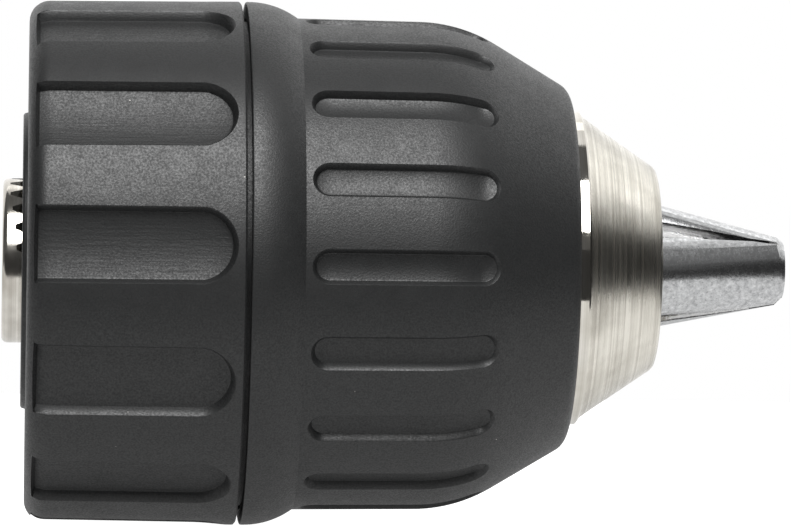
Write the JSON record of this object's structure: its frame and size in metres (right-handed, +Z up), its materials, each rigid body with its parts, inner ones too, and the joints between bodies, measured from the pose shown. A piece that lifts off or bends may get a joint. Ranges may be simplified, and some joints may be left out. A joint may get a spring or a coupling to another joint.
{
  "type": "drill chuck",
  "caption": "Two-sleeve keyless drill chuck with ribbed black sleeves, turned nickel nose and three self-centring steel jaws, shown closed.",
  "frame": {"origin": "centre of the hub's rear face, where the drill's spindle enters", "axes": "+X along the chuck axis from the spindle end to the jaw tips, +Z up, +Y away from the viewer"},
  "size_m": [0.0645, 0.043, 0.043],
  "materials": {
    "black_nylon": "satin moulded, fine grain",
    "turned_nickel": "nickel plated over fine turning marks",
    "plated_hub": "nickel plated, turned",
    "jaw_steel": "ground satin steel",
    "hardened_steel": "ground",
    "phosphated_steel": "phosphated, dark",
    "cage_brass": "stamped"
  },
  "bodies": {
    "body": {"body": "plated_hub", "rear_sleeve": "black_nylon", "nose_piece": "turned_nickel", "rear_thrust_washer": "hardened_steel"},
    "sleeve": {"front_sleeve": "black_nylon", "nut_half_a": "phosphated_steel", "nut_half_b": "phosphated_steel", "nut_band": "hardened_steel", "front_thrust_washer": "hardened_steel"},
    "bearing": {"bearing_cage": "cage_brass", "bearing_ball_01": "hardened_steel", "bearing_ball_02": "hardened_steel", "bearing_ball_03": "hardened_steel", "bearing_ball_04": "hardened_steel", "bearing_ball_05": "hardened_steel", "bearing_ball_06": "hardened_steel", "bearing_ball_07": "hardened_steel", "bearing_ball_08": "hardened_steel", "bearing_ball_09": "hardened_steel", "bearing_ball_10": "hardened_steel", "bearing_ball_11": "hardened_steel", "bearing_ball_12": "hardened_steel"},
    "jaw_1": {"jaw_1": "jaw_steel"},
    "jaw_2": {"jaw_2": "jaw_steel"},
    "jaw_3": {"jaw_3": "jaw_steel"}
  },
  "joints": [
    {"name": "sleeve_turn", "type": "hinge", "parent": "body", "child": "sleeve", "pos_m": [0.03, 0, 0], "axis": [1, 0, 0], "range_deg": [0, 3780]},
    {"name": "bearing_turn", "type": "hinge", "parent": "body", "child": "bearing", "pos_m": [0.0255, 0, 0], "axis": [1, 0, 0], "range_deg": [0, 1890]},
    {"name": "jaw_1_slide", "type": "slide", "parent": "body", "child": "jaw_1", "axis": [-0.9641, 0.0776, 0.254], "range_m": [0, 0.01745]},
    {"name": "jaw_2_slide", "type": "slide", "parent": "body", "child": "jaw_2", "axis": [-0.9641, 0.1811, -0.1942], "range_m": [0, 0.01745]},
    {"name": "jaw_3_slide", "type": "slide", "parent": "body", "child": "jaw_3", "axis": [-0.9641, -0.2588, -0.0597], "range_m": [0, 0.01745]}
  ],
  "couplings": [
    {"joint": "bearing_turn", "follows": "sleeve_turn", "ratio": 0.5},
    {"joint": "jaw_1_slide", "follows": "sleeve_turn", "m_per_rad": 0.00026413},
    {"joint": "jaw_2_slide", "follows": "sleeve_turn", "m_per_rad": 0.00026413},
    {"joint": "jaw_3_slide", "follows": "sleeve_turn", "m_per_rad": 0.00026413}
  ]
}
